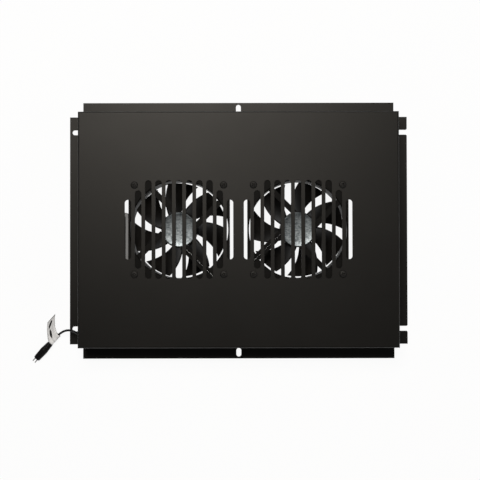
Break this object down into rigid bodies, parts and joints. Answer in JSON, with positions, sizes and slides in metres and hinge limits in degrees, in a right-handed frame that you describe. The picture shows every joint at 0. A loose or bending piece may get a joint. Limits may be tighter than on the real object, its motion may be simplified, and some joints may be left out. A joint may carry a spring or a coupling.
{
  "type": "rack fan tray",
  "caption": "Folded black steel rack tray with mounting flanges and slotted vents over axial cooling fans, with a wiring box and a short tagged cord and plug.",
  "frame": {"origin": "centre of the four flanges' underside, the plane the tray lies on", "axes": "+X along the long side towards the open notches, +Y across the panel, +Z out of the slotted panel's face"},
  "size_m": [0.4574, 0.3171, 0.0474],
  "materials": {
    "tray_pan": "satin",
    "fan_frame": "matte",
    "impeller": "satin",
    "motor_plate": "satin",
    "bearing_tube": "satin",
    "bearings": "matte",
    "stator_core": "matte",
    "windings": "gloss",
    "rotor_cage": "matte",
    "shaft": "polished",
    "shaft_clip": "satin",
    "fan_screws": "satin",
    "fan_washers": "satin",
    "fan_nuts": "satin",
    "wiring_box": "matte",
    "box_lid": "matte",
    "box_screws": "satin",
    "box_pad": "matte",
    "terminals": "matte",
    "lead": "satin",
    "lead_clips": "matte",
    "grommet": "matte",
    "power_cord": "satin",
    "cord_tag": "matte",
    "plug_body": "satin",
    "plug_pins": "polished"
  },
  "bodies": {
    "tray": {"tray_panel": "tray_pan", "tray_sides": "tray_pan", "left_fan_frame": "fan_frame", "left_frame_lugs": "fan_frame", "left_frame_struts": "fan_frame", "left_motor_plate": "motor_plate", "left_bearing_tube": "bearing_tube", "left_bearings": "bearings", "left_stator_core": "stator_core", "left_windings": "windings", "left_lead": "lead", "right_fan_frame": "fan_frame", "right_frame_lugs": "fan_frame", "right_frame_struts": "fan_frame", "right_motor_plate": "motor_plate", "right_bearing_tube": "bearing_tube", "right_bearings": "bearings", "right_stator_core": "stator_core", "right_windings": "windings", "right_lead": "lead", "fan_screws": "fan_screws", "fan_washers": "fan_washers", "fan_nuts": "fan_nuts", "wiring_box": "wiring_box", "box_lid": "box_lid", "box_screws": "box_screws", "box_pad": "box_pad", "terminals": "terminals", "lead_clips": "lead_clips", "grommet": "grommet", "supply_lead": "power_cord", "power_cord": "power_cord", "cord_tag": "cord_tag", "plug_body": "plug_body", "plug_pins": "plug_pins"},
    "left_rotor": {"left_impeller": "impeller", "left_rotor_cage": "rotor_cage", "left_shaft": "shaft", "left_shaft_clip": "shaft_clip"},
    "right_rotor": {"right_impeller": "impeller", "right_rotor_cage": "rotor_cage", "right_shaft": "shaft", "right_shaft_clip": "shaft_clip"}
  },
  "joints": [
    {"name": "left_fan_spin", "type": "hinge", "parent": "tray", "child": "left_rotor", "pos_m": [-0.07, 0, 0.024], "axis": [0, 0, 1], "continuous": true},
    {"name": "right_fan_spin", "type": "hinge", "parent": "tray", "child": "right_rotor", "pos_m": [0.07, 0, 0.024], "axis": [0, 0, 1], "continuous": true}
  ]
}
